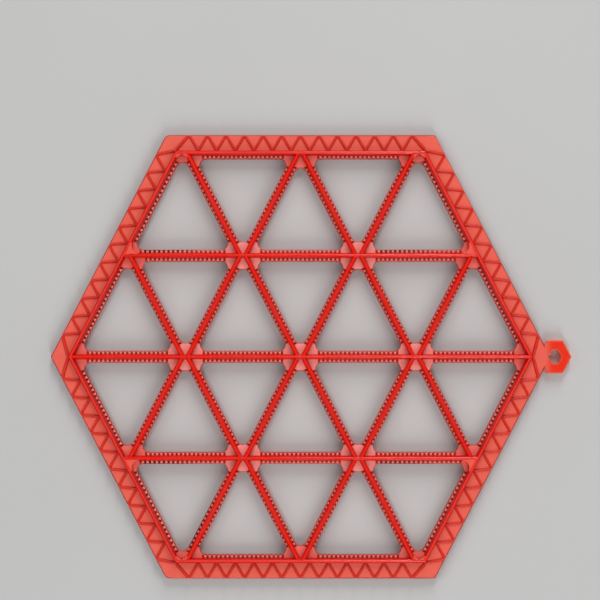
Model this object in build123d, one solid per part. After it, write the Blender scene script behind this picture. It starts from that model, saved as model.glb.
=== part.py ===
from build123d import *
import math
import os

# Lattice of triangular cells, in millimetres and degrees
row_pitch = 54.5
lean = 62.5
crossing_gap = 2.63
rows_each_way = 2

# Heights of the section, measured from the table
keel_depth = 3.0
ledge_thickness = 2.0
ridge_rise = 3.5
shoulder_drop = 1.1
web_thickness = 1.2
notch_depth = 1.4
zigzag_rise = 0.8

# Widths of the section, across a member
ridge_width = 2.8
shoulder_width = 2.3
crest_width = 0.9
keel_width = 1.6
level_ledge = 1.85
slanted_ledge = 1.4
wall_ledge = 1.75

# Openings and the notched ledges along them
opening_radius = 3.45
opening_draft = 0.5
teeth_per_row = 18
level_tooth_margin = 3.2
slanted_tooth_margin = 4.0
comb_root = 0.3

# Border: ridge wall, flat rim, skirt and raised zigzag
level_wall_shift = 0.55
slanted_wall_shift = 1.89
rim_width = 8.6
skirt_thickness = 1.6
rim_bevel_width = 0.8
rim_bevel_height = 1.6
rounded_corner = 3.2
crisp_corner = 1.2
gusset_acute_radius = 3.6
gusset_obtuse_radius = 2.6
level_zigzag_pitch = 10.0
slanted_zigzag_pitch = 10.93
slanted_zigzag_shift = 1.1
zigzag_width = 1.5
zigzag_crest_width = 0.5
zigzag_edge_gap = 0.3

# Hexagonal hanging tab with its hexagonal hole
tab_offset = 2.35
tab_half_flat = 4.25
tab_half_height = 8.8
tab_bevel = 0.7
hole_half_flat = 1.65
hole_half_height = 3.85
hole_radius = 1.3
hole_bevel = 0.35

# Heights and widths that follow from the ones above
ledge_bottom = keel_depth
ledge_top = ledge_bottom + ledge_thickness
crest_top = ledge_top + ridge_rise
ridge_half = ridge_width / 2
rim_edge = ridge_half + rim_width
comb_overreach = opening_radius / 2
cell_pitch = 2 * (row_pitch / math.tan(math.radians(lean)) + crossing_gap)
web_field_radius = cell_pitch / 4

# Half height of the lattice, and how far its slanted outline lies from the centre
outline_top = rows_each_way * row_pitch
outline_middle = Vector(3 / 4 * rows_each_way * cell_pitch, outline_top / 2)
outline_normal = Vector(math.sin(math.radians(lean)), math.cos(math.radians(lean)))
outline_slant = outline_middle.dot(outline_normal)

# Cutting tools run past every surface by this much, or span the whole mold
overcut = 1.0
far = 4 * outline_top

# Ridge line of each side of the border: angle of its normal, distance from the centre
level_reach = outline_top + level_wall_shift
slanted_reach = outline_slant + slanted_wall_shift
sides = {
    "upper_right": (90 - lean, slanted_reach),
    "top": (90, level_reach),
    "upper_left": (90 + lean, slanted_reach),
    "lower_left": (270 - lean, slanted_reach),
    "bottom": (270, level_reach),
    "lower_right": (270 + lean, slanted_reach),
}


def ray(angle):
    """Unit vector at an angle in degrees, counted from +X."""
    return Vector(math.cos(math.radians(angle)), math.sin(math.radians(angle)))


def moved(line, amount):
    """A line moved along its normal."""
    return line[0], line[1] + amount


def crossing(first, second):
    """Point where two lines meet, each a (normal angle, distance from the origin) pair."""
    a = ray(first[0])
    b = ray(second[0])
    determinant = a.X * b.Y - a.Y * b.X
    x = (first[1] * b.Y - second[1] * a.Y) / determinant
    y = (second[1] * a.X - first[1] * b.X) / determinant
    return Vector(x, y)


def flat_face(points):
    """Face in the XY plane through the given corners."""
    return make_face(Polyline(*points, close=True))


def prism(face, low, high):
    """Straight block over a face of the XY plane, between two heights."""
    return extrude(Pos(0, 0, low) * face, amount=high - low)


def hexagon_corners(beyond):
    """Corners of the hexagon whose sides lie beyond the border's ridge lines."""
    lines = [moved(line, beyond) for line in sides.values()]
    return [crossing(a, b) for a, b in zip(lines, lines[1:] + lines[:1])]


def hexagon(beyond):
    """Sharp hexagonal face, parallel to the border."""
    return flat_face(hexagon_corners(beyond))


def side_ends(side, beyond):
    """The two corners of one side of a hexagon parallel to the border."""
    corners = hexagon_corners(beyond)
    place = list(sides).index(side)
    return corners[place], corners[place - 1]


def wedge(side):
    """Stretch of the border that belongs to one side, mitred at both of its corners."""
    inner = side_ends(side, -row_pitch / 2)
    outer = side_ends(side, row_pitch)
    return prism(flat_face([inner[0], outer[0], outer[1], inner[1]]), -overcut, crest_top + overcut)


def place_name(point):
    """Where a point lies on the mold, in words."""
    x = round(point.X, 3)
    y = round(point.Y, 3)
    height = "" if y == 0 else "upper" if y > 0 else "lower"
    width = "" if x == 0 else "right" if x > 0 else "left"
    return "_".join(word for word in (height, width) if word) or "center"


def lattice_rows():
    """Vertices of the lattice, row by row from the bottom, each row from the left."""
    rows = []
    for row in range(-rows_each_way, rows_each_way + 1):
        count = 2 * rows_each_way + 1 - abs(row)
        left = -(count - 1) / 2 * cell_pitch
        rows.append([Vector(left + place * cell_pitch, row * row_pitch) for place in range(count)])
    return rows


def lattice_cells(rows):
    """Every cell as three vertices: the two of its level side, then its apex."""
    cells = []
    for base_row in rows:
        for apex_row in rows:
            if abs(rows.index(base_row) - rows.index(apex_row)) != 1:
                continue
            for a, b in zip(base_row, base_row[1:]):
                middle = (a.X + b.X) / 2
                cells += [(a, b, apex) for apex in apex_row if abs(apex.X - middle) < cell_pitch / 4]
    return cells


def cell_sides(corners):
    """The three edges of a cell, the level one first."""
    return list(zip(corners, corners[1:] + corners[:1]))


def edge_key(a, b):
    """Name of the lattice edge between two vertices, the same from either end."""
    middle = (a + b) / 2
    return round(middle.X, 3), round(middle.Y, 3)


def lattice_edges(cells):
    """Every edge by its name, with an (end, end, cell) entry for each cell beside it."""
    edges = {}
    for corners in cells:
        for a, b in cell_sides(corners):
            edges.setdefault(edge_key(a, b), []).append((a, b, corners))
    return edges


rows = lattice_rows()
cells = lattice_cells(rows)
edges = lattice_edges(cells)


def is_border(a, b):
    """A border edge has a cell on one side only."""
    return len(edges[edge_key(a, b)]) == 1


def border_side(point):
    """Side of the border nearest to a point of the lattice's outline."""
    return max(sides, key=lambda side: point.dot(ray(sides[side][0])) - sides[side][1])


def edge_angle(a, b):
    """Direction of the member along an edge: level, or leaning by the same angle each way."""
    if a.Y == b.Y:
        return 0
    rises_to_right = (b.X - a.X) * (b.Y - a.Y) > 0
    return lean if rises_to_right else 180 - lean


def ridge_line(a, b, inside):
    """Line of the ridge along an edge, with its normal pointing away from a point inside."""
    middle = (a + b) / 2
    if is_border(a, b):
        return sides[border_side(middle)]
    normal = edge_angle(a, b) + 90
    if (middle - inside).dot(ray(normal)) < 0:
        normal -= 180
    return normal, middle.dot(ray(normal))


def ledge_of(a, b):
    """Width of the notched ledge beside an edge."""
    if is_border(a, b):
        return wall_ledge
    return level_ledge if a.Y == b.Y else slanted_ledge


def cell_centre(corners):
    """Middle of a cell's three vertices."""
    return (corners[0] + corners[1] + corners[2]) / 3


def ridge_face(a, b, corners):
    """Line of the ridge's side that faces a cell."""
    return moved(ridge_line(a, b, cell_centre(corners)), -ridge_half)


def opening_corners(corners, grow=0):
    """Sharp corners of a cell's opening: the first ends of its three sides."""
    lines = [moved(ridge_face(a, b, corners), grow - ledge_of(a, b)) for a, b in cell_sides(corners)]
    return [crossing(lines[place - 1], line) for place, line in enumerate(lines)]


def opening_face(corners, grow):
    """Opening of a cell with its rounded corners."""
    face = flat_face(opening_corners(corners, grow))
    return fillet(face.vertices(), opening_radius + grow)


def opening_cutter(corners):
    """Tool that cuts an opening with its draft, one ledge thickness past both faces."""
    low = Pos(0, 0, ledge_bottom - ledge_thickness) * opening_face(corners, -opening_draft)
    high = Pos(0, 0, ledge_top + ledge_thickness) * opening_face(corners, 2 * opening_draft)
    return loft([low, high], ruled=True)


def member_core(length):
    """Keel, core and ridge of a member, lying along X with its middle over the origin."""
    half = [
        (keel_width / 2, 0),
        (ridge_half, ledge_bottom),
        (ridge_half, ledge_top),
        (shoulder_width / 2, crest_top - shoulder_drop),
        (crest_width / 2, crest_top),
    ]
    outline = [(0, y, z) for y, z in half] + [(0, -y, z) for y, z in reversed(half)]
    section = make_face(Polyline(*outline, close=True))
    return extrude(section, amount=length / 2, dir=(1, 0, 0), both=True)


def comb(length, width):
    """Notched ledge along X, reaching from inside the ridge out to +Y."""
    pitch = length / (teeth_per_row + 1 / 2)
    floor = ledge_top - notch_depth
    outline = [(-length / 2, ledge_bottom), (length / 2, ledge_bottom), (length / 2, floor)]
    for tooth in range(teeth_per_row):
        right = length / 2 - (tooth + 1 / 2) * pitch
        left = right - pitch / 2
        outline += [(right, floor), (right, ledge_top), (left, ledge_top), (left, floor)]
    outline.append((-length / 2, floor))
    section = make_face(Polyline(*[(x, -comb_root, z) for x, z in outline], close=True))
    return extrude(section, amount=width + comb_root, dir=(0, 1, 0))


def bay(a, b, corners):
    """Place, length and depth of the toothed stretch of one cell beside one edge."""
    place = cell_sides(corners).index((a, b))
    sharp = opening_corners(corners)
    start = sharp[place]
    end = sharp[place - 2]
    normal, distance = ridge_face(a, b, corners)
    middle = (start + end) / 2
    on_face = middle + ray(normal) * (distance - middle.dot(ray(normal)))
    margin = level_tooth_margin if a.Y == b.Y else slanted_tooth_margin
    length = (end - start).length - 2 * margin
    depth = ledge_of(a, b) + comb_overreach
    return Location((on_face.X, on_face.Y, 0), (0, 0, 1), normal + 90), length, depth


def toothed_ledge(a, b, corners):
    """Notched ledge of one cell beside one edge, trimmed by the cell's opening."""
    place, length, depth = bay(a, b, corners)
    return place * comb(length, depth) - cutters[cells.index(corners)]


def bay_footprint(a, b, corners):
    """Plan of a toothed stretch, from the ridge face into the opening."""
    place, length, depth = bay(a, b, corners)
    return place * Pos(0, depth / 2) * Rectangle(length, depth)


def core_footprint(a, b):
    """Plan of a member's core: the whole row for a level one, row to row for a slanted one."""
    middle = (a + b) / 2
    length = far if a.Y == b.Y else (b - a).length
    return Pos(middle.X, middle.Y) * Rot(0, 0, edge_angle(a, b)) * Rectangle(length, ridge_width)


def wall_core(side):
    """Keel, core and ridge of one side of the border, mitred at its corners."""
    normal, reach = sides[side]
    foot = ray(normal) * reach
    return Location((foot.X, foot.Y, 0), (0, 0, 1), normal - 90) * member_core(far) & wedge(side)


def rim_outline():
    """Outer hexagon of the rim, rounder at its upper left and lower left corners."""
    outline = hexagon(rim_edge)
    for corner in hexagon_corners(rim_edge):
        rounded = place_name(corner) in ("upper_left", "lower_left")
        nearest = outline.vertices().sort_by_distance(corner)[0]
        outline = fillet(nearest, rounded_corner if rounded else crisp_corner)
    return outline


def rim_ring():
    """Flat rim with its bevelled edge and the skirt that it stands on."""
    body = prism(rim_outline(), 0, ledge_top)
    top = body.faces().sort_by(Axis.Z)[-1]
    body = chamfer(top.outer_wire().edges(), rim_bevel_width, rim_bevel_height, reference=top)
    body -= prism(hexagon(ridge_half), -overcut, ledge_top + overcut)
    return body - prism(hexagon(rim_edge - skirt_thickness), -overcut, ledge_bottom)


def zigzag_band(line, width, slope):
    """Outline of a zigzag of one width, made by moving its middle line out and in."""
    shift = width / math.cos(slope) / 2
    return flat_face([(x, y + shift) for x, y in line] + [(x, y - shift) for x, y in reversed(line)])


def zigzag(side, rim):
    """Raised zigzag on one side of the rim, from corner to corner of the ridge wall."""
    left, right = side_ends(side, ridge_half)
    span = (right - left).length
    level = side in ("top", "bottom")
    pitch = level_zigzag_pitch if level else slanted_zigzag_pitch
    peaks = int(span / pitch)
    height = rim_width - zigzag_edge_gap
    slope = math.atan2(height, pitch / 2)
    shift = 0 if level else math.copysign(slanted_zigzag_shift, abs(right.Y) - abs(left.Y))
    first = -(peaks - 1) / 2 * pitch + shift
    line = [(-span / 2, 0)]
    for peak in range(peaks):
        line.append((first + peak * pitch, height))
        line.append((first + (peak + 1 / 2) * pitch, 0))
    line[-1] = (span / 2, 0)
    foot = zigzag_band(line, zigzag_width, slope)
    crest = zigzag_band(line, zigzag_crest_width, slope)
    rib = loft([Pos(0, 0, ledge_top) * foot, Pos(0, 0, ledge_top + zigzag_rise) * crest], ruled=True)
    rib += prism(foot, ledge_bottom, ledge_top)
    rib &= prism(Pos(0, height / 2) * Rectangle(far, height), 0, crest_top)
    middle = (left + right) / 2
    placed = Location((middle.X, middle.Y, 0), (0, 0, 1), sides[side][0] - 90) * rib
    return (placed & wedge(side)) - rim


def corner_block(first, second, radius):
    """Filled corner between two ridges, hollowed by an arc that touches both of their faces."""
    face_a = moved(first, -ridge_half)
    face_b = moved(second, -ridge_half)
    centre = crossing(moved(face_a, -radius), moved(face_b, -radius))
    touch_a = centre + ray(face_a[0]) * radius
    touch_b = centre + ray(face_b[0]) * radius
    back_a = touch_a + ray(face_a[0]) * ridge_half
    back_b = touch_b + ray(face_b[0]) * ridge_half
    outline = flat_face([back_a, touch_a, touch_b, back_b, crossing(first, second)])
    return outline - Pos(centre.X, centre.Y) * Circle(radius)


def is_corner_cell(corners):
    """True for the four cells beside the top and bottom corners of the hexagon."""
    at_border = is_border(corners[1], corners[2]) or is_border(corners[2], corners[0])
    return at_border and abs(corners[2].Y) == outline_top


def gusset_plans(corners):
    """Plans of the three filled corners of a cell at a slanted corner of the border."""
    base, right, left = [ridge_line(a, b, cell_centre(corners)) for a, b in cell_sides(corners)]
    outer, inner = (left, right) if is_border(corners[2], corners[0]) else (right, left)
    cap = sides["top" if corners[2].Y > 0 else "bottom"]
    return [
        corner_block(outer, base, gusset_acute_radius),
        corner_block(outer, cap, gusset_obtuse_radius),
        corner_block(cap, inner, gusset_obtuse_radius),
    ]


def tab_hexagon(half_flat, half_height):
    """Hexagon of the tab or its hole, with points to the left and right."""
    half_width = half_flat + half_height / math.tan(math.radians(lean))
    return flat_face([
        (half_width, 0),
        (half_flat, half_height),
        (-half_flat, half_height),
        (-half_width, 0),
        (-half_flat, -half_height),
        (half_flat, -half_height),
    ])


def tab_place():
    """Middle of the tab, just past the right corner of the rim."""
    corner = max(hexagon_corners(rim_edge), key=lambda point: point.X)
    return Pos(corner.X + tab_offset, 0)


def hole_cutter():
    """Tool that cuts the tab's rounded hexagonal hole with its bevelled upper edge."""
    hole = tab_hexagon(hole_half_flat, hole_half_height)
    hole = fillet(hole.vertices(), hole_radius)
    wide = offset(hole, hole_bevel)
    flare = loft([Pos(0, 0, ledge_top - hole_bevel) * hole, Pos(0, 0, ledge_top) * wide], ruled=True)
    return tab_place() * (prism(hole, -overcut, ledge_top + overcut) + flare)


def hang_tab(rim):
    """Bevelled hexagonal tab that grows out of the rim's flat top."""
    body = prism(tab_hexagon(tab_half_flat, tab_half_height), 0, ledge_top)
    body = chamfer(body.faces().sort_by(Axis.Z)[-1].edges(), tab_bevel)
    inside = prism(hexagon(rim_edge - rim_bevel_width), -overcut, crest_top)
    return tab_place() * body - inside - rim - hole_cutter()


def slanted_core(a, b):
    """Core of a slanted member, from the ridge line above it to the one below."""
    middle = (a + b) / 2
    ends = [math.copysign(level_reach, v.Y) if abs(v.Y) == outline_top else v.Y for v in (a, b)]
    strip = Pos(0, sum(ends) / 2) * Rectangle(far, abs(ends[1] - ends[0]))
    placed = Location((middle.X, middle.Y, 0), (0, 0, 1), edge_angle(a, b)) * member_core(2 * row_pitch)
    return placed & prism(strip, -overcut, crest_top + overcut)


def web_plan(vertex, blocks):
    """Plan of the flat webs round one vertex, before the openings are cut."""
    plan = Pos(vertex.X, vertex.Y) * Circle(web_field_radius) & hexagon(-ridge_half)
    for entries in edges.values():
        a, b = entries[0][:2]
        if vertex not in (a, b):
            continue
        for entry in entries:
            plan -= bay_footprint(*entry)
        if not is_border(a, b):
            plan -= core_footprint(a, b)
    for block in blocks:
        plan -= block
    return plan


def webs_at(vertex, blocks):
    """Flat webs round one vertex, flush with the teeth."""
    webs = prism(web_plan(vertex, blocks), ledge_top - web_thickness, ledge_top)
    for corners, cutter in zip(cells, cutters):
        if vertex in corners:
            webs -= cutter
    return webs.solids()


def save(name, solids):
    """Write one node as its own file."""
    export_step(Compound(label=name, children=list(solids)), f"parts/{name}.step")


def save_member(name, core, entries):
    """Write one member: its core with the notched ledges of the cells beside it."""
    for entry in entries:
        core += toothed_ledge(*entry)
    save(name, core.solids())


def without(shape, others):
    """A shape less what it shares with others."""
    for other in others:
        shape -= other
    return shape


def save_rim():
    """Write the rim, its zigzags and the tab."""
    rim = rim_ring()
    pierced = rim - hole_cutter()
    for side in sides:
        save(f"rim_{side}", (pierced & wedge(side)).solids())
        save(f"zigzag_{side}", zigzag(side, rim).solids())
    save("hang_tab", hang_tab(rim).solids())


def save_walls():
    """Write the ridge walls of the border, and return their cores."""
    walls = {side: wall_core(side) for side in sides}
    borders = [entries[0] for entries in edges.values() if len(entries) == 1]
    for side, core in walls.items():
        beside = [(a, b, corners) for a, b, corners in borders if border_side((a + b) / 2) == side]
        save_member(f"border_wall_{side}", core, beside)
    return list(walls.values())


def save_cross_bars(walls):
    """Write the level bars from the top down, and return their cores."""
    field = prism(hexagon(0), -overcut, crest_top + overcut)
    cores = []
    for row in reversed(rows[1:-1]):
        core = without(Pos(0, row[0].Y) * member_core(far) & field, walls)
        cores.append(core)
        entries = [entry for a, b in zip(row, row[1:]) for entry in edges[edge_key(a, b)]]
        save_member(f"cross_bar_{len(cores)}", core, entries)
    return cores


def slanted_edges(strip):
    """Inner slanted edges of one strip of cells, left to right, with the strips counted from the top."""
    height = (rows_each_way - strip - 1 / 2) * row_pitch
    found = []
    for entries in edges.values():
        a, b = entries[0][:2]
        if len(entries) == 2 and a.Y != b.Y and abs((a.Y + b.Y) / 2 - height) < row_pitch / 4:
            found.append(entries)
    return sorted(found, key=lambda entries: entries[0][0].X + entries[0][1].X)


def save_slanted_bars(neighbours):
    """Write the slanted bars strip by strip from the top, and return their cores."""
    cores = []
    for strip in range(2 * rows_each_way):
        for place, entries in enumerate(slanted_edges(strip)):
            core = without(slanted_core(*entries[0][:2]), neighbours)
            cores.append(core)
            save_member(f"slanted_bar_{strip + 1}_{place + 1}", core, entries)
    return cores


def save_gussets(neighbours):
    """Write the filled corners beside the hexagon's corners, and return their plans."""
    blocks = []
    for corners in cells:
        if is_corner_cell(corners):
            plans = gusset_plans(corners)
            blocks += plans
            filled = [without(prism(plan, ledge_bottom, crest_top), neighbours) for plan in plans]
            solids = [solid for block in filled for solid in block.solids()]
            save(f"corner_gusset_{place_name(corners[2])}", solids)
    return blocks


def save_webs(blocks):
    """Write the webs: a node for each inner vertex, and one for each side of the border."""
    border_webs = {side: [] for side in sides}
    for row in rows:
        for vertex in row:
            webs = webs_at(vertex, blocks)
            if vertex in (row[0], row[-1]) or row in (rows[0], rows[-1]):
                border_webs[border_side(vertex)] += webs
            else:
                save(f"web_{place_name(vertex)}", webs)
    for side, webs in border_webs.items():
        save(f"border_web_{side}", webs)


os.makedirs("parts", exist_ok=True)
cutters = [opening_cutter(corners) for corners in cells]
save_rim()
wall_cores = save_walls()
cross_cores = save_cross_bars(wall_cores)
slanted_cores = save_slanted_bars(wall_cores + cross_cores)
gusset_blocks = save_gussets(wall_cores + cross_cores + slanted_cores)
save_webs(gusset_blocks)
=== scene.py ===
"""Blender look of a hexagonal samosa mold that lies flat, dressed over its CAD frame.

Every CAD node is replaced by a merged copy of itself, mostly with softened edges, so that the members
catch the light as one moulding does. Materials are procedural and work on object coordinates.
"""
import logging
import math
from dataclasses import dataclass, field, replace
from enum import Enum
from typing import Iterable, Optional

import bpy
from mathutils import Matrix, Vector
from mathutils.bvhtree import BVHTree


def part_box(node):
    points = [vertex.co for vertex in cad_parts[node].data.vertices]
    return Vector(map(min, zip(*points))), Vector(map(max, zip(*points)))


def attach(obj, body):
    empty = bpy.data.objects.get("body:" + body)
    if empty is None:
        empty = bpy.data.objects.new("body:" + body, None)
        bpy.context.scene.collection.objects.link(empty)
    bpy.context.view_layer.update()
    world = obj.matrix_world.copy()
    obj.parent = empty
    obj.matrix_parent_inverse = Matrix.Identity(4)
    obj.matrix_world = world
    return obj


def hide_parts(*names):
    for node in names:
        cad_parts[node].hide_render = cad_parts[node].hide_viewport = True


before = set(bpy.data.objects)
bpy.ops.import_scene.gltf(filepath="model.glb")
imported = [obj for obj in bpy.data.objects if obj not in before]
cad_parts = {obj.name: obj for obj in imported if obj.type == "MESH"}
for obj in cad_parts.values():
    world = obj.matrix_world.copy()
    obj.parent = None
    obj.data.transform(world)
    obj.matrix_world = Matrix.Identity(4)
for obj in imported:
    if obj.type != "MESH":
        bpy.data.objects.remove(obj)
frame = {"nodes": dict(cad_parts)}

Colour = tuple[float, float, float]
Span = tuple[float, float]

LOG = logging.getLogger("samosa_mold")
BODY = "root"
MM = 0.001


class Family(Enum):
    """Kinds of member that the mold is made of, by the start of their CAD node's name."""

    RIM = "rim_"
    ZIGZAG = "zigzag_"
    TAB = "hang_tab"
    WALL = "border_wall_"
    CROSS_BAR = "cross_bar_"
    SLANTED_BAR = "slanted_bar_"
    GUSSET = "corner_gusset_"
    WEB = "web_"
    BORDER_WEB = "border_web_"


@dataclass(frozen=True)
class PlasticFinish:
    """Look of one part of the moulding.

    Args:
        name: Name of the material.
        slot: Material slot of the record that the finish belongs to. Not used.
        base: Linear colour of the plastic.
        steep_shade_and_highlight: Linear colour painted on steep faces: painted shade, and on the tab a
            painted highlight.
        recess_shade_and_cloud: Linear colour of the painted shade in notches and inner corners, also laid in
            slow random clouds.
        edge: Linear colour painted along the outer edges: a painted highlight where it is paler than the
            base, painted shade where it is darker.
        ledge_top_sheen: Linear colour of the painted sheen on flat faces at the height of the ledges, if any.
        warm: Linear colour that the surface turns to towards the tab, along X, if any.
        edge_weight: How much of the edge colour shows, from 0 to 1.
        edge_mm: How far from an outer edge that colour reaches.
        recess_mm: How far from an inner corner the painted shade reaches.
        roughness: Middle roughness of the surface.
        roughness_spread: How far smudges and scratches move the roughness.
        grain_mm: Size of the grain that the mold's tool left.
        grain_depth_mm: Depth of that grain.
        sheen: Specular level of the surface.
        translucence: Weight of the light that spreads inside the plastic.
    """

    name: str
    slot: str
    base: Colour
    steep_shade_and_highlight: Colour
    recess_shade_and_cloud: Colour
    edge: Colour
    ledge_top_sheen: Optional[Colour] = None
    warm: Optional[Colour] = None
    edge_weight: float = 0.20
    edge_mm: float = 0.30
    recess_mm: float = 1.6
    roughness: float = 0.34
    roughness_spread: float = 0.20
    grain_mm: float = 0.30
    grain_depth_mm: float = 0.020
    sheen: float = 0.34
    translucence: float = 0.12


TAB_RED = (0.80, 0.024, 0.001)
# The rim's pink is painted sheen of its flat top over the red of the plastic.
RIM_PINK = (0.79, 0.116, 0.078)

RIDGE_FINISH = PlasticFinish(
    "ridge_red",
    "ridge_plastic",
    base=(0.79, 0.010, 0.0005),
    steep_shade_and_highlight=(0.64, 0.0020, 0.0006),
    recess_shade_and_cloud=(0.52, 0.0030, 0.0010),
    edge=(0.88, 0.020, 0.008),
    # Painted sheen on the flat tops of the ledges and teeth.
    ledge_top_sheen=(0.97, 0.370, 0.290),
    roughness=0.20,
    roughness_spread=0.14,
    sheen=0.24,
)
# The walls' paler base than the bars' is a painted highlight on their crests, and their darker flank painted
# shade.
WALL_FINISH = replace(
    RIDGE_FINISH,
    name="wall_red",
    base=(0.84, 0.026, 0.016),
    steep_shade_and_highlight=(0.48, 0.0015, 0.0005),
)
# The gusset's pink is painted sheen of its flat top, and its dark edge colour a painted shade band along the
# arc.
GUSSET_FINISH = replace(
    RIDGE_FINISH,
    name="gusset_red",
    base=(0.84, 0.098, 0.068),
    steep_shade_and_highlight=(0.50, 0.0030, 0.0010),
    recess_shade_and_cloud=(0.74, 0.040, 0.026),
    edge=(0.40, 0.003, 0.001),
    ledge_top_sheen=None,
    edge_weight=1.0,
    edge_mm=0.80,
    roughness=0.30,
)
RIM_FINISH = PlasticFinish(
    "rim_red",
    "rim_plastic",
    base=RIM_PINK,
    steep_shade_and_highlight=(0.42, 0.010, 0.005),
    recess_shade_and_cloud=(0.72, 0.085, 0.052),
    edge=(0.48, 0.022, 0.012),
    warm=TAB_RED,
    edge_weight=0.35,
    recess_mm=0.6,
    roughness=0.38,
    grain_mm=0.5,
)
# The ribs' darker red than the rim is painted shade, and their paler edge colour a painted highlight.
ZIGZAG_FINISH = PlasticFinish(
    "zigzag_red",
    "rim_plastic",
    base=(0.64, 0.025, 0.011),
    steep_shade_and_highlight=(0.60, 0.020, 0.009),
    recess_shade_and_cloud=(0.58, 0.016, 0.007),
    edge=(0.74, 0.050, 0.028),
    recess_mm=0.5,
    roughness=0.32,
)
# The tab's pale flank and edge colours are painted highlights along its bevelled sides and edges.
TAB_FINISH = PlasticFinish(
    "tab_red",
    "tab_plastic",
    base=RIM_PINK,
    steep_shade_and_highlight=(0.95, 0.200, 0.110),
    recess_shade_and_cloud=(0.66, 0.016, 0.002),
    edge=(0.95, 0.190, 0.110),
    warm=TAB_RED,
    edge_weight=0.55,
    recess_mm=0.8,
    roughness=0.24,
)
# The webs' pink is painted sheen of their flat tops over the red of the plastic.
WEB_FINISH = PlasticFinish(
    "web_red",
    "web_plastic",
    base=(0.98, 0.315, 0.280),
    steep_shade_and_highlight=(0.46, 0.020, 0.014),
    recess_shade_and_cloud=(0.97, 0.280, 0.240),
    edge=(0.60, 0.050, 0.040),
    edge_weight=0.35,
    recess_mm=0.9,
    roughness=0.40,
    translucence=0.30,
)
# Redder than the inner webs: less painted sheen near the border.
BORDER_WEB_FINISH = replace(
    WEB_FINISH,
    name="border_web_red",
    base=(0.90, 0.170, 0.135),
    recess_shade_and_cloud=(0.84, 0.130, 0.100),
)


@dataclass(frozen=True)
class EdgeSoftening:
    """How the edges of a family are rounded.

    Args:
        width_mm: Width of the rounding, or 0 for none.
        segments: Faces across it.
        crest_mm: Width of the rounding along the highest edges, where it differs.
        crest_segments: Faces across that rounding.
        least_angle: Smallest angle, in degrees, at which an edge counts as one.
    """

    width_mm: float
    segments: int = 2
    crest_mm: float = 0.0
    crest_segments: int = 4
    least_angle: float = 18.0


RIDGE_EDGES = EdgeSoftening(0.12, crest_mm=0.42)
WEB_EDGES = EdgeSoftening(0.10)

LOOKS: dict[Family, tuple[PlasticFinish, EdgeSoftening]] = {
    Family.RIM: (RIM_FINISH, EdgeSoftening(0.36, 3)),
    Family.ZIGZAG: (ZIGZAG_FINISH, EdgeSoftening(0.12)),
    Family.TAB: (TAB_FINISH, EdgeSoftening(0.70, 4)),
    Family.WALL: (WALL_FINISH, RIDGE_EDGES),
    Family.CROSS_BAR: (RIDGE_FINISH, RIDGE_EDGES),
    Family.SLANTED_BAR: (RIDGE_FINISH, RIDGE_EDGES),
    Family.GUSSET: (GUSSET_FINISH, EdgeSoftening(0.0)),
    Family.WEB: (WEB_FINISH, WEB_EDGES),
    Family.BORDER_WEB: (BORDER_WEB_FINISH, WEB_EDGES),
}


def family_of(node: str) -> Family:
    """Find the family of a CAD node.

    Args:
        node: Name of the node.

    Returns:
        The family whose prefix starts the name.
    """
    return next(family for family in Family if node.startswith(family.value))


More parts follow.
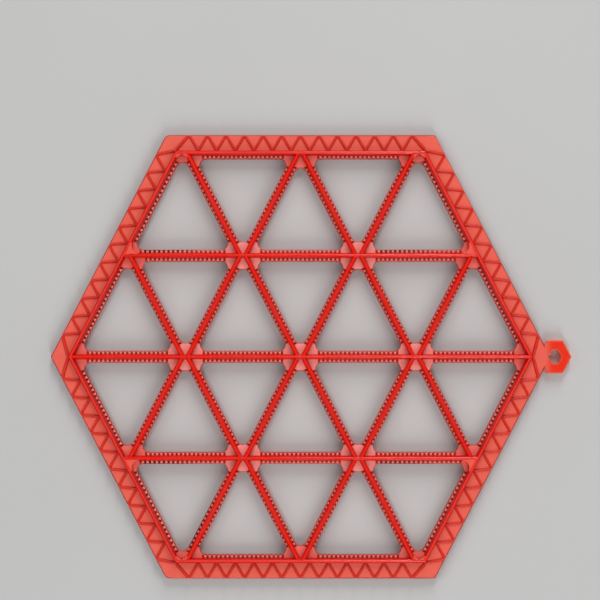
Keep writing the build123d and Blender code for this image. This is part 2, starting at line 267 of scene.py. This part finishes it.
class NodeGraph:
    """Small helper that adds and links nodes in one tree."""

    # A Mix node repeats its socket names for each type, so its colours go by their places.
    MIX_COLOURS = (6, 7)
    MIX_RESULT = 2

    def __init__(self, tree: bpy.types.NodeTree) -> None:
        """Keep the tree to build in.

        Args:
            tree: Shader tree of a material, world or group.
        """
        self.tree = tree

    def link(self, source: bpy.types.NodeSocket, target: bpy.types.NodeSocket) -> None:
        """Link two sockets.

        Args:
            source: Output to read.
            target: Input to feed.
        """
        self.tree.links.new(source, target)

    def add(self, kind: str, inputs: Optional[dict] = None, **settings: object) -> bpy.types.Node:
        """Add a node.

        Args:
            kind: Type of the node.
            inputs: Values or output sockets, by the name or place of the input.
            settings: Attributes of the node.

        Returns:
            The new node.
        """
        node = self.tree.nodes.new(kind)
        for name, value in settings.items():
            setattr(node, name, value)
        for key, value in (inputs or {}).items():
            if isinstance(value, bpy.types.NodeSocket):
                self.link(value, node.inputs[key])
            else:
                node.inputs[key].default_value = value
        return node

    def place(self) -> bpy.types.NodeSocket:
        """Read the place on the piece, in object coordinates."""
        return self.add("ShaderNodeTexCoord").outputs["Object"]

    def use(self, group: bpy.types.NodeTree, inputs: Optional[dict] = None) -> bpy.types.NodeOutputs:
        """Put a shared group to use.

        Args:
            group: Group to place.
            inputs: Values for its inputs, by name.

        Returns:
            Its outputs.
        """
        return self.add("ShaderNodeGroup", inputs, node_tree=group).outputs

    def math(self, operation: str, *values: object, clamp: bool = False) -> bpy.types.NodeSocket:
        """Add a Math node.

        Args:
            operation: Name of the operation.
            values: Its numbers or sockets, in order.
            clamp: Whether the result is held between 0 and 1.

        Returns:
            The node's output.
        """
        inputs = dict(enumerate(values))
        return self.add("ShaderNodeMath", inputs, operation=operation, use_clamp=clamp).outputs[0]

    def spread(
        self, value: object, low: float, high: float, to_low: float = 0.0, to_high: float = 1.0
    ) -> bpy.types.NodeSocket:
        """Map a range of values to another, with clamping.

        Args:
            value: Socket to read.
            low: Start of the range that is read. It may lie above the end.
            high: End of the range that is read.
            to_low: Result at the start.
            to_high: Result at the end.

        Returns:
            The mapped value.
        """
        inputs = {"Value": value, "From Min": low, "From Max": high, "To Min": to_low, "To Max": to_high}
        return self.add("ShaderNodeMapRange", inputs).outputs["Result"]

    def noise(
        self,
        place: bpy.types.NodeSocket,
        scale: object,
        detail: float,
        roughness: float = 0.5,
        distortion: float = 0.0,
    ) -> bpy.types.NodeSocket:
        """Add noise.

        Args:
            place: Coordinates to read.
            scale: Number or socket with the noise's scale, per metre.
            detail: How many finer layers it has.
            roughness: How strong the finer layers are.
            distortion: How much it swirls.

        Returns:
            The noise, about 0.5.
        """
        inputs = {"Vector": place, "Scale": scale, "Detail": detail}
        inputs |= {"Roughness": roughness, "Distortion": distortion}
        return self.add("ShaderNodeTexNoise", inputs).outputs[0]

    def mix(self, factor: bpy.types.NodeSocket, *colours: object) -> bpy.types.NodeSocket:
        """Mix two colours.

        Args:
            factor: Share of the second colour.
            colours: The two colours, each a socket or three linear values.

        Returns:
            The mixed colour.
        """
        inputs = {"Factor": factor}
        for place, colour in zip(self.MIX_COLOURS, colours):
            inputs[place] = colour if isinstance(colour, bpy.types.NodeSocket) else (*colour, 1.0)
        return self.add("ShaderNodeMix", inputs, data_type="RGBA").outputs[self.MIX_RESULT]


def new_group(
    name: str, inputs: dict[str, float], outputs: dict[str, str]
) -> tuple[NodeGraph, dict, dict]:
    """Start a shader node group.

    Args:
        name: Name of the group.
        inputs: Default of each float input.
        outputs: Socket type of each output.

    Returns:
        The group's graph, its input sockets by name and its output node's sockets by name.
    """
    tree = bpy.data.node_groups.new(name, "ShaderNodeTree")
    for label, default in inputs.items():
        socket = tree.interface.new_socket(name=label, in_out="INPUT", socket_type="NodeSocketFloat")
        socket.default_value = default
    for label, kind in outputs.items():
        tree.interface.new_socket(name=label, in_out="OUTPUT", socket_type=kind)
    graph = NodeGraph(tree)
    entry = graph.add("NodeGroupInput")
    leave = graph.add("NodeGroupOutput")
    return graph, {s.name: s for s in entry.outputs}, {s.name: s for s in leave.inputs}


class SharedEffects:
    """Node groups that every plastic of the mold uses.

    Each pair of numbers says where a mask starts and where it is whole, unless a comment says more.
    """

    SMUDGE_NOISE: Span = (0.38, 0.66)
    SCRATCH_NOISE: Span = (0.68, 0.76)
    # Direction of the scratches in radians, and how many times longer than wide they are.
    SCRATCHES: tuple[Span, ...] = ((0.5, 40.0), (-0.9, 28.0))
    # Cosine of the turn from the flat face to the rounded edge.
    EDGE_COSINE: Span = (0.995, 0.85)
    CHIP_NOISE: Span = (0.35, 0.65)
    LEAST_EDGE = 0.25
    RECESS_LIGHT: Span = (0.90, 0.45)
    # Cosine of the slope.
    STEEP_COSINE: Span = (0.80, 0.45)
    # Height over the ledge in fillets, and depth under it in thicknesses, at which the mask fades out.
    ABOVE_LEDGE: Span = (0.15, 1.0)
    BELOW_LEDGE: Span = (1.02, 1.08)

    def __init__(self) -> None:
        """Build the groups once."""
        self.surface = self._surface()
        self.handling = self._handling()
        self.edges = self._edges()
        self.recess = self._recess()
        self.faces = self._faces()
        self.towards_tab = self._towards_tab()

    @staticmethod
    def _surface() -> bpy.types.NodeTree:
        """Grain left by the tool, with slow waves of shrinkage under it.

        Returns:
            A group with the bumped normal.
        """
        inputs = {"Grain Scale": 2800.0, "Grain Depth": 0.00001, "Wave Depth": 0.00006}
        graph, given, result = new_group("mold_surface", inputs, {"Normal": "NodeSocketVector"})
        place = graph.place()
        slow = graph.noise(place, 95.0, 2.0, 0.45)
        grain = graph.noise(place, given["Grain Scale"], 3.0, 0.6)
        waves = {"Height": slow, "Distance": given["Wave Depth"], "Strength": 1.0}
        wavy = graph.add("ShaderNodeBump", waves).outputs[0]
        fine = {"Height": grain, "Distance": given["Grain Depth"], "Strength": 1.0, "Normal": wavy}
        graph.link(graph.add("ShaderNodeBump", fine).outputs[0], result["Normal"])
        return graph.tree

    @classmethod
    def _handling(cls) -> bpy.types.NodeTree:
        """Traces of washing and handling: cloudy smudges and fine crossing scratches.

        Returns:
            A group with a smudge mask and a scratch mask.
        """
        inputs = {"Smudge Scale": 38.0, "Scratch Scale": 4200.0}
        outputs = {"Smudge": "NodeSocketFloat", "Scratch": "NodeSocketFloat"}
        graph, given, result = new_group("mold_handling", inputs, outputs)
        place = graph.place()
        cloud = graph.noise(place, given["Smudge Scale"], 5.0, 0.62, 0.6)
        graph.link(graph.spread(cloud, *cls.SMUDGE_NOISE), result["Smudge"])
        marks = []
        for turn, stretch in cls.SCRATCHES:
            # The TEXTURE type turns before it stretches, so the scratches follow the turn.
            turned = graph.add(
                "ShaderNodeMapping",
                {"Vector": place, "Rotation": (0.0, 0.0, turn), "Scale": (stretch, 1.0, 1.0)},
                vector_type="TEXTURE",
            )
            lines = graph.noise(turned.outputs[0], given["Scratch Scale"], 1.0, distortion=0.2)
            marks.append(graph.spread(lines, *cls.SCRATCH_NOISE))
        graph.link(graph.math("MAXIMUM", *marks), result["Scratch"])
        return graph.tree

    @classmethod
    def _edges(cls) -> bpy.types.NodeTree:
        """Places where the surface turns sharply, broken up by noise, where edge highlights and shade are
        painted.

        Returns:
            A group with an edge mask.
        """
        graph, given, result = new_group("mold_edges", {"Radius": 0.0003}, {"Edge": "NodeSocketFloat"})
        rounded = graph.add("ShaderNodeBevel", {"Radius": given["Radius"]}, samples=4).outputs[0]
        straight = graph.add("ShaderNodeNewGeometry").outputs["Normal"]
        turn = graph.add("ShaderNodeVectorMath", {0: rounded, 1: straight}, operation="DOT_PRODUCT")
        mask = graph.spread(turn.outputs["Value"], *cls.EDGE_COSINE)
        chips = graph.noise(graph.place(), 420.0, 4.0, 0.7)
        broken = graph.spread(chips, *cls.CHIP_NOISE, cls.LEAST_EDGE, 1.0)
        graph.link(graph.math("MULTIPLY", mask, broken, clamp=True), result["Edge"])
        return graph.tree

    @classmethod
    def _recess(cls) -> bpy.types.NodeTree:
        """Corners that the light hardly reaches.

        Returns:
            A group with a recess mask.
        """
        outputs = {"Recess": "NodeSocketFloat"}
        graph, given, result = new_group("mold_recess", {"Reach": 0.0016}, outputs)
        shade = graph.add("ShaderNodeAmbientOcclusion", {"Distance": given["Reach"]}, samples=8)
        graph.link(graph.spread(shade.outputs["AO"], *cls.RECESS_LIGHT), result["Recess"])
        return graph.tree

    @classmethod
    def _faces(cls) -> bpy.types.NodeTree:
        """Sorts the surface by slope and height.

        Returns:
            A group with a mask of the steep faces, for painted shade and highlights, and one of the flat
            faces of the ledges and webs, for painted sheen.
        """
        inputs = {"Ledge Top": 0.005, "Thickness": 0.002, "Fillet": 0.00025}
        outputs = {"Steep": "NodeSocketFloat", "Ledge Top Sheen": "NodeSocketFloat"}
        graph, given, result = new_group("mold_faces", inputs, outputs)
        normal = graph.add("ShaderNodeTexCoord").outputs["Normal"]
        slope = graph.add("ShaderNodeSeparateXYZ", {0: normal}).outputs["Z"]
        steep = graph.spread(graph.math("ABSOLUTE", slope), *cls.STEEP_COSINE)
        graph.link(steep, result["Steep"])
        height = graph.add("ShaderNodeSeparateXYZ", {0: graph.place()}).outputs["Z"]
        rise = graph.math("SUBTRACT", height, given["Ledge Top"])
        drop = graph.math("SUBTRACT", given["Ledge Top"], height)
        above = graph.math("DIVIDE", rise, given["Fillet"])
        below = graph.math("DIVIDE", drop, given["Thickness"])
        low = graph.spread(above, *cls.ABOVE_LEDGE, 1.0, 0.0)
        level = graph.math("MULTIPLY", low, graph.spread(below, *cls.BELOW_LEDGE, 1.0, 0.0))
        flat = graph.math("SUBTRACT", 1.0, steep)
        graph.link(graph.math("MULTIPLY", level, flat), result["Ledge Top Sheen"])
        return graph.tree

    @staticmethod
    def _towards_tab() -> bpy.types.NodeTree:
        """Change of colour from the rim to the tab, along X.

        Returns:
            A group with a mask that grows along X.
        """
        inputs = {"Start": 0.131, "End": 0.136}
        graph, given, result = new_group("mold_towards_tab", inputs, {"Warm": "NodeSocketFloat"})
        along = graph.add("ShaderNodeSeparateXYZ", {0: graph.place()}).outputs["X"]
        span = {"Value": along, "From Min": given["Start"], "From Max": given["End"]}
        grown = graph.add("ShaderNodeMapRange", span, interpolation_type="SMOOTHSTEP")
        graph.link(grown.outputs["Result"], result["Warm"])
        return graph.tree


class PlasticMaterials:
    """Makes each plastic material once and hands it out."""

    IOR = 1.49
    SCATTER_COLOUR: Colour = (1.0, 0.25, 0.12)
    SCATTER_MM = 1.2
    CLOUD_NOISE: Span = (0.4, 0.8)
    CLOUD_WEIGHT = 0.14
    SCRATCH_WEIGHT = 0.25
    SCRATCH_PALENESS = 0.22

    def __init__(self, effects: SharedEffects, ledge_top: float, tab: Span) -> None:
        """Start with no materials.

        Args:
            effects: Groups that the materials share.
            ledge_top: Height of the top of the ledges and webs.
            tab: Where the colour of the tab starts and is whole, along X.
        """
        self.effects = effects
        self.ledge_top = ledge_top
        self.tab = tab
        self.made: dict[str, bpy.types.Material] = {}

    def get(self, finish: PlasticFinish) -> bpy.types.Material:
        """Hand out the material of a finish.

        Args:
            finish: Look to make.

        Returns:
            The material.
        """
        if finish.name not in self.made:
            self.made[finish.name] = self._make(finish)
        return self.made[finish.name]

    def _make(self, finish: PlasticFinish) -> bpy.types.Material:
        """Build the nodes of one plastic.

        Args:
            finish: Look to make.

        Returns:
            The new material.
        """
        material = bpy.data.materials.new(finish.name)
        material.use_nodes = True
        material.node_tree.nodes.clear()
        graph = NodeGraph(material.node_tree)
        handling = graph.use(self.effects.handling)
        grain_scale = 1.0 / (finish.grain_mm * MM)
        grain = {"Grain Scale": grain_scale, "Grain Depth": finish.grain_depth_mm * MM}
        shader = graph.add(
            "ShaderNodeBsdfPrincipled",
            {
                "Base Color": self._colour(graph, finish, handling["Scratch"]),
                "Roughness": self._roughness(graph, finish, handling),
                "Normal": graph.use(self.effects.surface, grain)["Normal"],
                "IOR": self.IOR,
                "Specular IOR Level": finish.sheen,
                "Subsurface Weight": finish.translucence,
                "Subsurface Radius": self.SCATTER_COLOUR,
                "Subsurface Scale": self.SCATTER_MM * MM,
            },
        )
        graph.add("ShaderNodeOutputMaterial", {"Surface": shader.outputs[0]})
        return material

    def _colour(
        self, graph: NodeGraph, finish: PlasticFinish, scratch: bpy.types.NodeSocket
    ) -> bpy.types.NodeSocket:
        """Lay the colours of one plastic over each other.

        Args:
            graph: Graph of the material.
            finish: Look to make.
            scratch: Mask of the scratches.

        Returns:
            The colour of the surface.
        """
        edge = graph.use(self.effects.edges, {"Radius": finish.edge_mm * MM})["Edge"]
        recess = graph.use(self.effects.recess, {"Reach": finish.recess_mm * MM})["Recess"]
        faces = graph.use(self.effects.faces, {"Ledge Top": self.ledge_top})
        cloud = graph.spread(graph.noise(graph.place(), 14.0, 3.0), *self.CLOUD_NOISE, 0.0, self.CLOUD_WEIGHT)
        colour = finish.base
        if finish.warm:
            start, end = self.tab
            warm = graph.use(self.effects.towards_tab, {"Start": start, "End": end})["Warm"]
            colour = graph.mix(warm, colour, finish.warm)
        # Painted sheen on the flat faces at ledge height.
        if finish.ledge_top_sheen:
            colour = graph.mix(faces["Ledge Top Sheen"], colour, finish.ledge_top_sheen)
        # Painted shade on steep faces, and on the tab a painted highlight.
        colour = graph.mix(faces["Steep"], colour, finish.steep_shade_and_highlight)
        # Painted shade in notches and inner corners, with random clouding of the plastic's tone in the same
        # colour.
        colour = graph.mix(graph.math("MAXIMUM", recess, cloud), colour, finish.recess_shade_and_cloud)
        # Painted highlight along the outer edges where the edge colour is paler, painted shade where it is
        # darker, broken up by noise.
        outer = graph.math("SUBTRACT", edge, recess, clamp=True)
        colour = graph.mix(graph.math("MULTIPLY", outer, finish.edge_weight), colour, finish.edge)
        pale = tuple(channel + (1.0 - channel) * self.SCRATCH_PALENESS for channel in finish.base)
        return graph.mix(graph.math("MULTIPLY", scratch, self.SCRATCH_WEIGHT), colour, pale)

    @staticmethod
    def _roughness(
        graph: NodeGraph, finish: PlasticFinish, handling: bpy.types.NodeOutputs
    ) -> bpy.types.NodeSocket:
        """Roughen one plastic by its smudges and scratches.

        Args:
            graph: Graph of the material.
            finish: Look to make.
            handling: Outputs of the handling group.

        Returns:
            The roughness of the surface.
        """
        half = finish.roughness_spread / 2
        around = (finish.roughness - half, finish.roughness + half)
        smudged = graph.spread(handling["Smudge"], 0.0, 1.0, *around)
        return graph.math("MULTIPLY_ADD", handling["Scratch"], finish.roughness_spread, smudged)


def work_on(obj: bpy.types.Object) -> None:
    """Make one object the only selected and active one.

    Args:
        obj: Object to work on.
    """
    bpy.ops.object.select_all(action="DESELECT")
    obj.select_set(True)
    bpy.context.view_layer.objects.active = obj


class Contacts:
    """Tells whether a point lies on a member other than its own."""

    def __init__(self, nodes: Iterable[str], reach_mm: float = 0.01) -> None:
        """Index the surface of every node.

        Args:
            nodes: Names of the CAD nodes.
            reach_mm: Distance within which a point counts as lying on a surface.
        """
        self.reach = reach_mm * MM
        self.trees: dict[str, tuple[Vector, Vector, BVHTree]] = {}
        for name in nodes:
            mesh = frame["nodes"][name].data
            corners = [vertex.co.copy() for vertex in mesh.vertices]
            tree = BVHTree.FromPolygons(corners, [tuple(face.vertices) for face in mesh.polygons])
            low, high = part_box(name)
            self.trees[name] = (Vector(low), Vector(high), tree)

    def at(self, point: Vector, own: str) -> bool:
        """Test one point.

        Args:
            point: Place to test.
            own: Node that the point belongs to, which isn't tested.

        Returns:
            True if another node's surface passes through the point.
        """
        for name, (low, high, tree) in self.trees.items():
            if name == own:
                continue
            if any(point[k] < low[k] - self.reach or point[k] > high[k] + self.reach for k in range(3)):
                continue
            if tree.find_nearest(point, self.reach)[0] is not None:
                return True
        return False


@dataclass
class MouldedMember:
    """One member of the moulding, as a merged copy of its CAD node.

    Args:
        node: Name of the CAD node.
        finish: Look of the member.
        softening: How its edges are rounded.
        merge_mm: Distance within which corners of the node's triangles are one.
        flat_angle: Largest angle, in degrees, between triangles of one flat face.
        sharp_angle: Smallest angle, in degrees, at which an edge stays sharp in the shading.
        crest_slack_mm: How far under the top an edge may lie and still count as highest.
        flat_weight: How much more the large faces count in the shading, from 1 to 100.
    """

    node: str
    finish: PlasticFinish
    softening: EdgeSoftening
    merge_mm: float = 0.002
    flat_angle: float = 0.6
    sharp_angle: float = 50.0
    crest_slack_mm: float = 0.05
    flat_weight: int = 90
    piece: Optional[bpy.types.Object] = field(default=None, init=False)

    def merge(self) -> None:
        """Copy the node's mesh, and turn its loose triangles into whole flat faces."""
        mesh = frame["nodes"][self.node].data.copy()
        mesh.materials.clear()
        self.piece = bpy.data.objects.new(f"{self.node}_moulded", mesh)
        bpy.context.scene.collection.objects.link(self.piece)
        work_on(self.piece)
        bpy.ops.object.mode_set(mode="EDIT")
        bpy.ops.mesh.select_all(action="SELECT")
        bpy.ops.mesh.remove_doubles(threshold=self.merge_mm * MM)
        bpy.ops.mesh.dissolve_limited(angle_limit=math.radians(self.flat_angle))
        bpy.ops.mesh.select_all(action="DESELECT")
        bpy.ops.object.mode_set(mode="OBJECT")

    def round_edges(self, touching: Contacts, width_mm: float, segments: int, above: float) -> None:
        """Round the sharp edges that stand free. Starts and ends in edit mode.

        Args:
            touching: Test for points that lie on another member.
            width_mm: Width of the rounding.
            segments: Faces across it.
            above: Height that an edge has to pass with both ends.
        """
        bpy.ops.mesh.select_all(action="DESELECT")
        bpy.ops.mesh.select_mode(type="EDGE")
        bpy.ops.mesh.edges_select_sharp(sharpness=math.radians(self.softening.least_angle))
        bpy.ops.object.mode_set(mode="OBJECT")
        mesh = self.piece.data
        sharp = [edge for edge in mesh.edges if edge.select]
        for items in (mesh.vertices, mesh.edges, mesh.polygons):
            items.foreach_set("select", [False] * len(items))
        for edge in sharp:
            a, b = (mesh.vertices[place].co for place in edge.vertices)
            edge.select = min(a.z, b.z) > above and not touching.at((a + b) / 2, self.node)
        bpy.ops.object.mode_set(mode="EDIT")
        bpy.ops.mesh.bevel(offset=width_mm * MM, segments=segments, affect="EDGES", clamp_overlap=True)

    def soften(self, touching: Contacts) -> None:
        """Round the edges that stand free, and leave those on a joint with a neighbour sharp.

        Args:
            touching: Test for points that lie on another member.
        """
        softening = self.softening
        work_on(self.piece)
        bpy.ops.object.mode_set(mode="EDIT")
        if softening.crest_mm:
            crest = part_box(self.node)[1].z - self.crest_slack_mm * MM
            self.round_edges(touching, softening.crest_mm, softening.crest_segments, crest)
        if softening.width_mm:
            self.round_edges(touching, softening.width_mm, softening.segments, -math.inf)
        bpy.ops.mesh.select_all(action="DESELECT")
        bpy.ops.mesh.edges_select_sharp(sharpness=math.radians(self.sharp_angle))
        bpy.ops.mesh.mark_sharp()
        bpy.ops.mesh.select_all(action="DESELECT")
        bpy.ops.object.mode_set(mode="OBJECT")
        bpy.ops.object.shade_smooth()
        weighted = self.piece.modifiers.new("flat_faces_lead", "WEIGHTED_NORMAL")
        weighted.keep_sharp = True
        weighted.weight = self.flat_weight
        bpy.ops.object.modifier_apply(modifier=weighted.name)

    def dress(self, materials: PlasticMaterials) -> None:
        """Give the piece its material and hand it to the frame.

        Args:
            materials: Source of the materials.
        """
        self.piece.data.materials.append(materials.get(self.finish))
        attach(self.piece, BODY)
        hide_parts(self.node)


@dataclass
class SamosaMold:
    """The whole moulding, member by member."""

    materials: PlasticMaterials

    def build(self) -> None:
        """Make every member from its CAD node."""
        contacts = Contacts(frame["nodes"])
        for node in sorted(frame["nodes"]):
            member = MouldedMember(node, *LOOKS[family_of(node)])
            member.merge()
            member.soften(contacts)
            member.dress(self.materials)
            faces = len(member.piece.data.polygons)
            LOG.info("%s: %d faces, %s", member.piece.name, faces, member.finish.name)


@dataclass(frozen=True)
class Softbox:
    """Soft rectangular light that faces the mold.

    Args:
        name: Name of the light.
        place: Where it hangs.
        size: Its width and height.
        power: Its power in watts.
    """

    name: str
    place: tuple[float, float, float]
    size: tuple[float, float]
    power: float

    def hang(self) -> None:
        """Hang the light, unseen by the camera."""
        lamp = bpy.data.lights.new(self.name, "AREA")
        lamp.shape = "RECTANGLE"
        lamp.size, lamp.size_y = self.size
        lamp.energy = self.power
        hung = bpy.data.objects.new(self.name, lamp)
        hung.location = self.place
        hung.rotation_euler = (-Vector(self.place)).to_track_quat("-Z", "Y").to_euler()
        hung.visible_camera = False
        bpy.context.scene.collection.objects.link(hung)


# The strongest lights hang above and below the mold, as its camera sees it.
SOFTBOXES = (
    Softbox("top_softbox", (0.22, 1.50, 0.95), (0.36, 1.10), 20.0),
    Softbox("bottom_softbox", (0.30, -1.45, 1.00), (0.32, 1.10), 15.5),
    Softbox("left_softbox", (-1.45, 0.0, 1.05), (0.50, 0.70), 4.5),
    Softbox("right_softbox", (1.45, 0.0, 1.05), (0.50, 0.70), 3.5),
)


@dataclass
class Stage:
    """Floor, lights, world and camera round the mold.

    Args:
        floor_size: Side of the floor.
        floor_drop_mm: How far the floor lies under the mold.
        floor_tones: Darkest and palest linear colour of the floor.
        floor_roughness: Roughness of the floor.
        backdrop_tone: Linear colour of the backdrop.
        backdrop_from: Distances at which the floor starts to turn into the backdrop, and has.
        room_tone: Linear colour of the light from all round.
        room_strength: Strength of that light.
        camera_height: Height of the camera.
        focus_height_mm: Height of the plane that frame_width is measured in.
        frame_width: Width of the picture in that plane.
        drop_in_frame: How far the mold lies under the picture's middle, as a share of its width.
        left_in_frame: How far it lies left of that middle, as such a share too.
        sensor_mm: Width of the camera's sensor.
        clip_start: Nearest distance that the camera shows.
    """

    floor_size: float = 6.0
    floor_drop_mm: float = 0.05
    floor_tones: tuple[Colour, Colour] = ((0.49, 0.485, 0.48), (0.53, 0.525, 0.52))
    floor_roughness: float = 0.75
    backdrop_tone: Colour = (0.555, 0.55, 0.545)
    backdrop_from: Span = (0.30, 1.10)
    room_tone: Colour = (0.86, 0.87, 0.88)
    room_strength: float = 0.38
    camera_height: float = 0.90
    focus_height_mm: float = 5.0
    frame_width: float = 0.3230
    drop_in_frame: float = 56.8 / 600
    left_in_frame: float = -0.5 / 600
    sensor_mm: float = 36.0
    clip_start: float = 0.01

    @staticmethod
    def seen(graph: NodeGraph) -> bpy.types.NodeSocket:
        """Tell the rays that see the surroundings from those that only carry light.

        Args:
            graph: Graph to add to.

        Returns:
            1 for a ray from the camera, from a reflection or through something clear.
        """
        path = graph.add("ShaderNodeLightPath").outputs
        mirrored = graph.math("MAXIMUM", path["Is Glossy Ray"], path["Is Transmission Ray"])
        return graph.math("MAXIMUM", path["Is Camera Ray"], mirrored)

    def floor(self) -> None:
        """Lay a plain pale floor just under the mold."""
        bpy.ops.object.select_all(action="DESELECT")
        bpy.ops.mesh.primitive_plane_add(size=self.floor_size, location=(0, 0, 0))
        floor = bpy.context.object
        floor.name = "floor"
        bpy.ops.object.mode_set(mode="EDIT")
        bpy.ops.transform.translate(value=(0, 0, -self.floor_drop_mm * MM))
        bpy.ops.object.mode_set(mode="OBJECT")
        floor.data.materials.append(self.floor_material())

    def floor_material(self) -> bpy.types.Material:
        """Make the floor's material, which turns into the backdrop far from the mold.

        Returns:
            The material.
        """
        material = bpy.data.materials.new("pale_floor")
        material.use_nodes = True
        graph = NodeGraph(material.node_tree)
        place = graph.place()
        shader = material.node_tree.nodes["Principled BSDF"]
        graph.link(graph.mix(graph.noise(place, 6.0, 4.0), *self.floor_tones), shader.inputs["Base Color"])
        shader.inputs["Roughness"].default_value = self.floor_roughness
        away = graph.add("ShaderNodeVectorMath", {0: place}, operation="LENGTH").outputs["Value"]
        far = graph.math("MULTIPLY", graph.spread(away, *self.backdrop_from), self.seen(graph))
        backdrop = graph.add("ShaderNodeEmission", {"Color": (*self.backdrop_tone, 1.0), "Strength": 1.0})
        faded = graph.add("ShaderNodeMixShader", {0: far, 1: shader.outputs[0], 2: backdrop.outputs[0]})
        graph.link(faded.outputs[0], material.node_tree.nodes["Material Output"].inputs["Surface"])
        return material

    def world(self) -> None:
        """Surround the mold with even pale light, in front of a backdrop of the floor's tone."""
        world = bpy.data.worlds.new("pale_room")
        bpy.context.scene.world = world
        world.use_nodes = True
        graph = NodeGraph(world.node_tree)
        light = world.node_tree.nodes["Background"]
        light.inputs["Color"].default_value = (*self.room_tone, 1.0)
        light.inputs["Strength"].default_value = self.room_strength
        tone = {"Color": (*self.backdrop_tone, 1.0), "Strength": 1.0}
        backdrop = graph.add("ShaderNodeBackground", tone).outputs[0]
        room = graph.add("ShaderNodeMixShader", {0: self.seen(graph), 1: light.outputs[0], 2: backdrop})
        graph.link(room.outputs[0], world.node_tree.nodes["World Output"].inputs["Surface"])

    def camera(self) -> None:
        """Look straight down on the mold, with its centre where the photograph has it."""
        data = bpy.data.cameras.new("camera")
        data.sensor_width = self.sensor_mm
        data.lens = self.sensor_mm * (self.camera_height - self.focus_height_mm * MM) / self.frame_width
        data.shift_x = self.left_in_frame
        data.shift_y = self.drop_in_frame
        data.clip_start = self.clip_start
        camera = bpy.data.objects.new("camera", data)
        camera.location = (0.0, 0.0, self.camera_height)
        bpy.context.scene.collection.objects.link(camera)
        bpy.context.scene.camera = camera

    def build(self) -> None:
        """Set up the whole stage."""
        self.camera()
        self.floor()
        for softbox in SOFTBOXES:
            softbox.hang()
        self.world()
        bpy.context.scene.view_settings.view_transform = "Standard"


def main() -> None:
    """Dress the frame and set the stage."""
    logging.basicConfig(level=logging.INFO, format="%(name)s: %(message)s")
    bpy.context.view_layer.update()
    Stage().build()
    ledge_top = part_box("web_center")[1].z
    tab_low, tab_high = (corner.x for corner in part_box("hang_tab"))
    tab_colour = (tab_low, tab_low + (tab_high - tab_low) / 3)
    SamosaMold(PlasticMaterials(SharedEffects(), ledge_top, tab_colour)).build()


if __name__ == "__main__":
    main()
